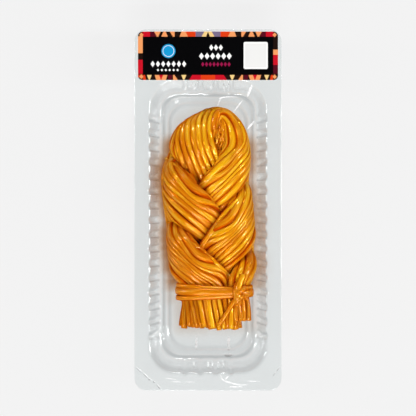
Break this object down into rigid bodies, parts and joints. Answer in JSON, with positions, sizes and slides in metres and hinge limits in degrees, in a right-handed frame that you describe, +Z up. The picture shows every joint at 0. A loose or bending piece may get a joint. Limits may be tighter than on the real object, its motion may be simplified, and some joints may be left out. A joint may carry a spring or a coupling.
{
  "type": "braided string cheese",
  "caption": "Smoked string cheese plaited into a braid and tied near its cut end, sealed under clear film in a ribbed clear plastic tray with a header label.",
  "frame": {"origin": "under the middle of the pack, on the plane that its tray stands on", "axes": "+X across the pack to the knot's side, +Y along the pack to the label, +Z up to the film"},
  "size_m": [0.09, 0.221, 0.0312],
  "materials": {
    "clear_tray": "thin clear formed sheet, glossy",
    "clear_film": "clear sealed film, glossy",
    "printed_label": "satin print, black with a patterned border",
    "smoked_cheese": "waxy, springy cheese, browned golden orange by smoking"
  },
  "bodies": {
    "root": {"tray": "clear_tray", "lid_film": "clear_film", "label": "printed_label", "folded_strand": "smoked_cheese", "third_strand": "smoked_cheese", "tie_string": "smoked_cheese"}
  },
  "joints": []
}
